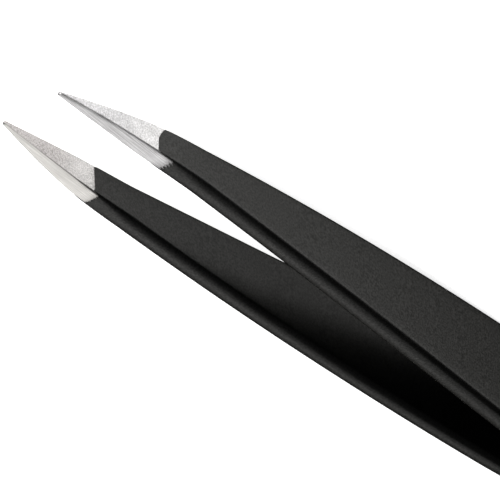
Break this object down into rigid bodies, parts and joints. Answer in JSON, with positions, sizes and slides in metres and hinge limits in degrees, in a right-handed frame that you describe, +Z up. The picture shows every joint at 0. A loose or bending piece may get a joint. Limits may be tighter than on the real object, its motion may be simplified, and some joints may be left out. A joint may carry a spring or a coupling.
{
  "type": "needle point tweezers",
  "caption": "Sprung needle point tweezers: bowed matte black steel arms welded flat at the tail, with bare ground steel points.",
  "frame": {"origin": "middle of the length, midway between the arms, on the surface that the lower side edges rest on", "axes": "+X along the length towards the points, +Y across the gap to the left arm, +Z up across the arms' width"},
  "size_m": [0.096, 0.0084, 0.0092],
  "materials": {
    "bare_steel": "satin, finely ground across the edges",
    "black_coat": "matte",
    "weld_steel": "dull"
  },
  "bodies": {
    "tail": {"tail_left": "black_coat", "tail_right": "black_coat", "weld_spots": "weld_steel"},
    "arm_left": {"shank_left": "black_coat", "blade_left": "black_coat", "point_left": "bare_steel"},
    "arm_right": {"shank_right": "black_coat", "blade_right": "black_coat", "point_right": "bare_steel"}
  },
  "joints": [
    {"name": "squeeze_left", "type": "hinge", "parent": "tail", "child": "arm_left", "pos_m": [-0.028, 0.00092, 0.0046], "axis": [0, 0, -1], "range_deg": [0, 1.78], "stiffness_Nm_per_rad": 2.9},
    {"name": "squeeze_right", "type": "hinge", "parent": "tail", "child": "arm_right", "pos_m": [-0.028, -0.00092, 0.0046], "axis": [0, 0, 1], "range_deg": [0, 1.78], "stiffness_Nm_per_rad": 2.9}
  ]
}
